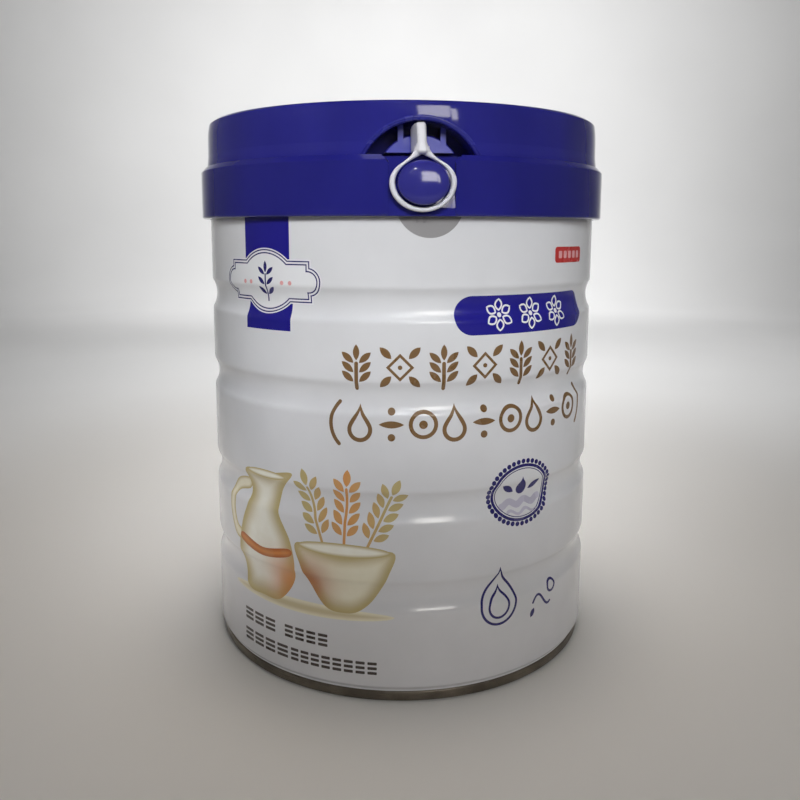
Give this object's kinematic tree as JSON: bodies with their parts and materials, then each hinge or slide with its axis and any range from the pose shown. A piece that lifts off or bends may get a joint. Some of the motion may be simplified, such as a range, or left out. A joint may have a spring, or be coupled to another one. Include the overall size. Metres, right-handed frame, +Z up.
{
  "type": "milk powder tin",
  "caption": "Shut round tin with rolled beads and a two-tier flip lid, held down by a front clasp that loops over a domed button.",
  "frame": {"origin": "on the level that the tin stands on, at the middle of the part's outline seen from above; the tin's axis is 2.1 mm behind it, towards +Y", "axes": "+Z up along the tin, -Y towards the clasp at the front, +X to the right seen from the front"},
  "size_m": [0.1322, 0.1364, 0.1677],
  "materials": {
    "printed_tin": "white lacquered tinplate with a printed label, glossy",
    "tinplate": "bare tinplate, dulled",
    "blue_plastic": "moulded, semi-gloss",
    "white_plastic": "moulded, satin"
  },
  "bodies": {
    "root": {"tin_end": "tinplate", "tin_body": "printed_tin", "lid_collar": "blue_plastic", "lid_cap": "blue_plastic", "lid_hinge": "blue_plastic", "latch_button": "blue_plastic", "latch_clasp": "white_plastic"}
  },
  "joints": []
}
